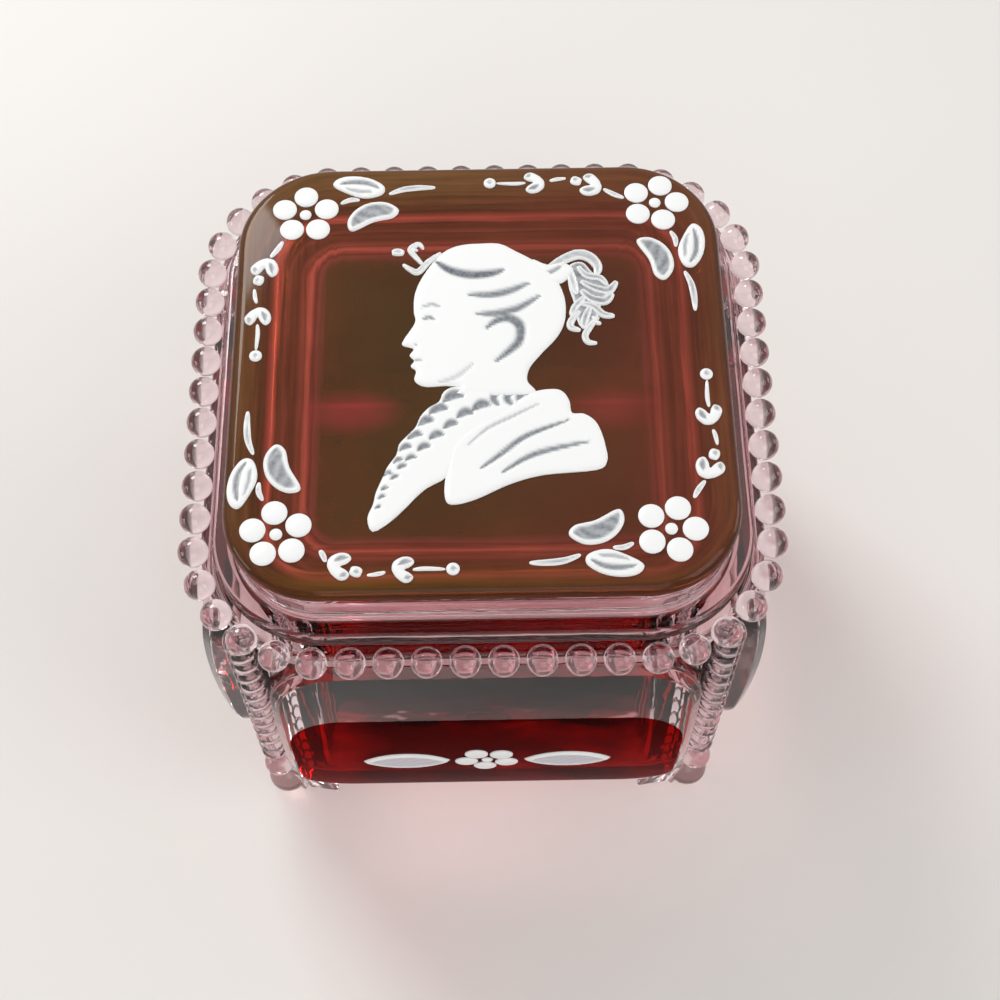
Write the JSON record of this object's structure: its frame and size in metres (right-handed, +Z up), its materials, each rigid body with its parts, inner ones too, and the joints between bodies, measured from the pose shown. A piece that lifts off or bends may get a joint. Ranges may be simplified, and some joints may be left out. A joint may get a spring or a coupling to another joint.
{
  "type": "casket box",
  "caption": "Square pressed-glass casket box with a lift-off lid, beaded rim, bead-stack corners, ruby-stained side panels and white enamel cameo decoration.",
  "frame": {"origin": "on the table, under the middle of the box", "axes": "+Z up, -Y towards the front of the cameo, whose profile looks to -X; the lid lifts along +Z"},
  "size_m": [0.0948, 0.0948, 0.0871],
  "materials": {
    "clear_glass": "fire-polished pressed glass with a faint pink cast",
    "ruby_stain": "fired ruby stain on glass",
    "amber_stain": "fired amber stain on glass",
    "white_enamel": "opaque fired enamel, slightly glossy",
    "grey_enamel": "thin fired enamel, half opaque"
  },
  "bodies": {
    "base": {"base_bowl": "clear_glass", "rim_beads": "clear_glass", "corner_columns": "clear_glass", "bracket_feet": "clear_glass", "ruby_stain": "ruby_stain", "side_flowers": "white_enamel", "side_leaves": "grey_enamel"},
    "lid": {"lid_glass": "clear_glass", "amber_stain": "amber_stain", "corner_flowers": "white_enamel", "corner_leaves": "grey_enamel", "flower_stems": "grey_enamel", "bud_garlands": "white_enamel", "cameo_head": "white_enamel", "cameo_hair": "grey_enamel", "cameo_collar": "white_enamel", "cameo_shawl": "white_enamel"}
  },
  "joints": [
    {"name": "lid_lift", "type": "slide", "parent": "base", "child": "lid", "axis": [0, 0, 1], "range_m": [0, 0.1]}
  ]
}
